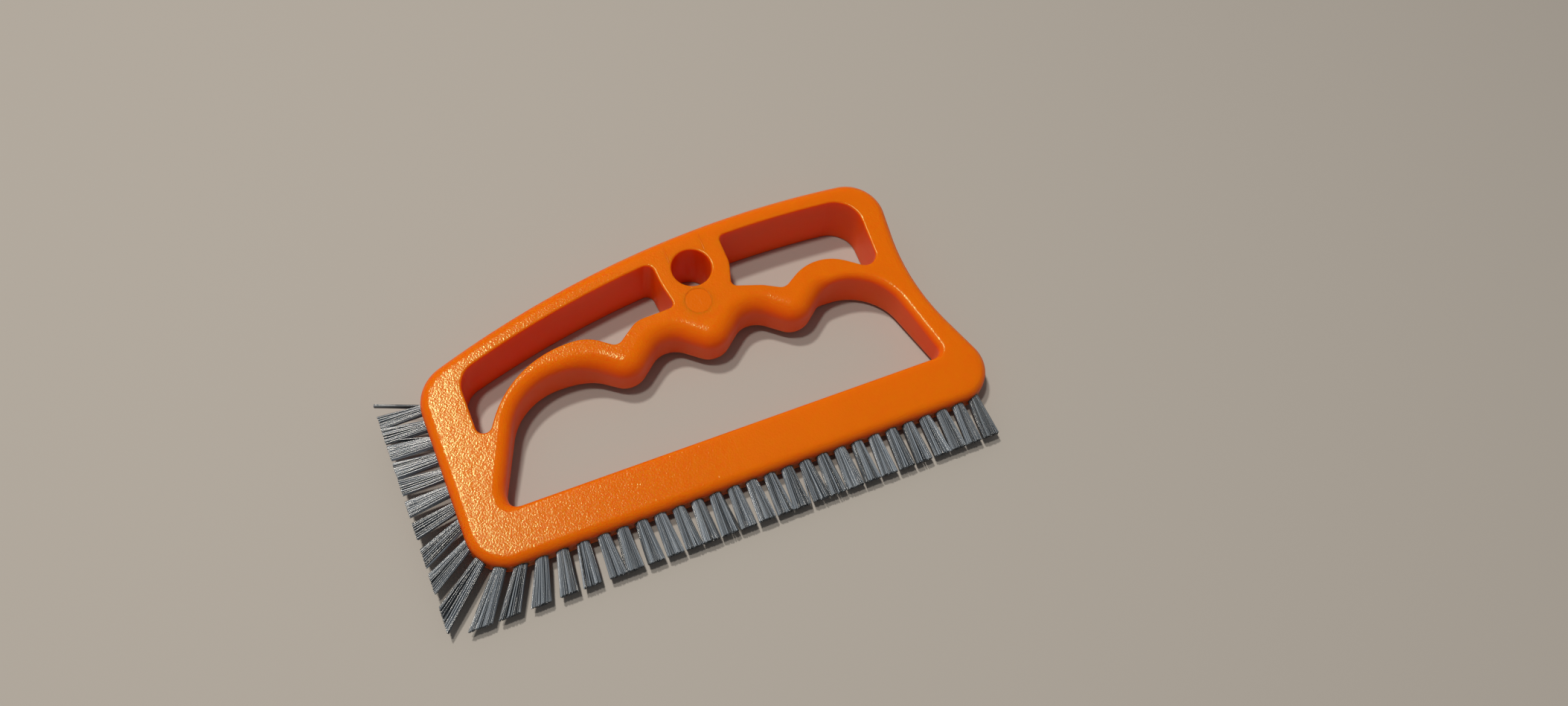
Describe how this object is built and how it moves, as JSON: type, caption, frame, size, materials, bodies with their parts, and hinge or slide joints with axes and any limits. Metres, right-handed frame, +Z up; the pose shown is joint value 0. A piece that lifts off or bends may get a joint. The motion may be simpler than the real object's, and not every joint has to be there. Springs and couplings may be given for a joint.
{
  "type": "grout brush",
  "caption": "Wedge-shaped grout brush: an open moulded plastic handle with a finger grip and a hanging hole, and a row of stiff bristle tufts along its base and up its nose.",
  "frame": {"origin": "middle of the footprint of the whole brush, on the surface that it lies on", "axes": "+X along the base from the bristled nose to the heel, +Y from the bristle tips under the base to the top bar, +Z up from the lower flank that the brush lies on"},
  "size_m": [0.1606, 0.0876, 0.019],
  "materials": {
    "handle_plastic": "orange moulded polypropylene, fine spark-eroded flanks and smooth rounded edges",
    "bristle": "stiff slate-grey extruded filaments in trimmed tufts",
    "anchor_steel": "plain flat wire, hidden in the tuft holes"
  },
  "bodies": {
    "root": {"handle_frame": "handle_plastic", "tuft_base_01": "bristle", "tuft_base_02": "bristle", "tuft_base_03": "bristle", "tuft_base_04": "bristle", "tuft_base_05": "bristle", "tuft_base_06": "bristle", "tuft_base_07": "bristle", "tuft_base_08": "bristle", "tuft_base_09": "bristle", "tuft_base_10": "bristle", "tuft_base_11": "bristle", "tuft_base_12": "bristle", "tuft_base_13": "bristle", "tuft_base_14": "bristle", "tuft_base_15": "bristle", "tuft_base_16": "bristle", "tuft_base_17": "bristle", "tuft_base_18": "bristle", "tuft_base_19": "bristle", "tuft_base_20": "bristle", "tuft_base_21": "bristle", "tuft_base_22": "bristle", "tuft_base_23": "bristle", "tuft_base_24": "bristle", "tuft_base_25": "bristle", "tuft_base_26": "bristle", "tuft_corner_01": "bristle", "tuft_corner_02": "bristle", "tuft_corner_03": "bristle", "tuft_nose_01": "bristle", "tuft_nose_02": "bristle", "tuft_nose_03": "bristle", "tuft_nose_04": "bristle", "tuft_nose_05": "bristle", "tuft_nose_06": "bristle", "tuft_nose_07": "bristle", "tuft_nose_08": "bristle", "tuft_anchors": "anchor_steel"}
  },
  "joints": []
}
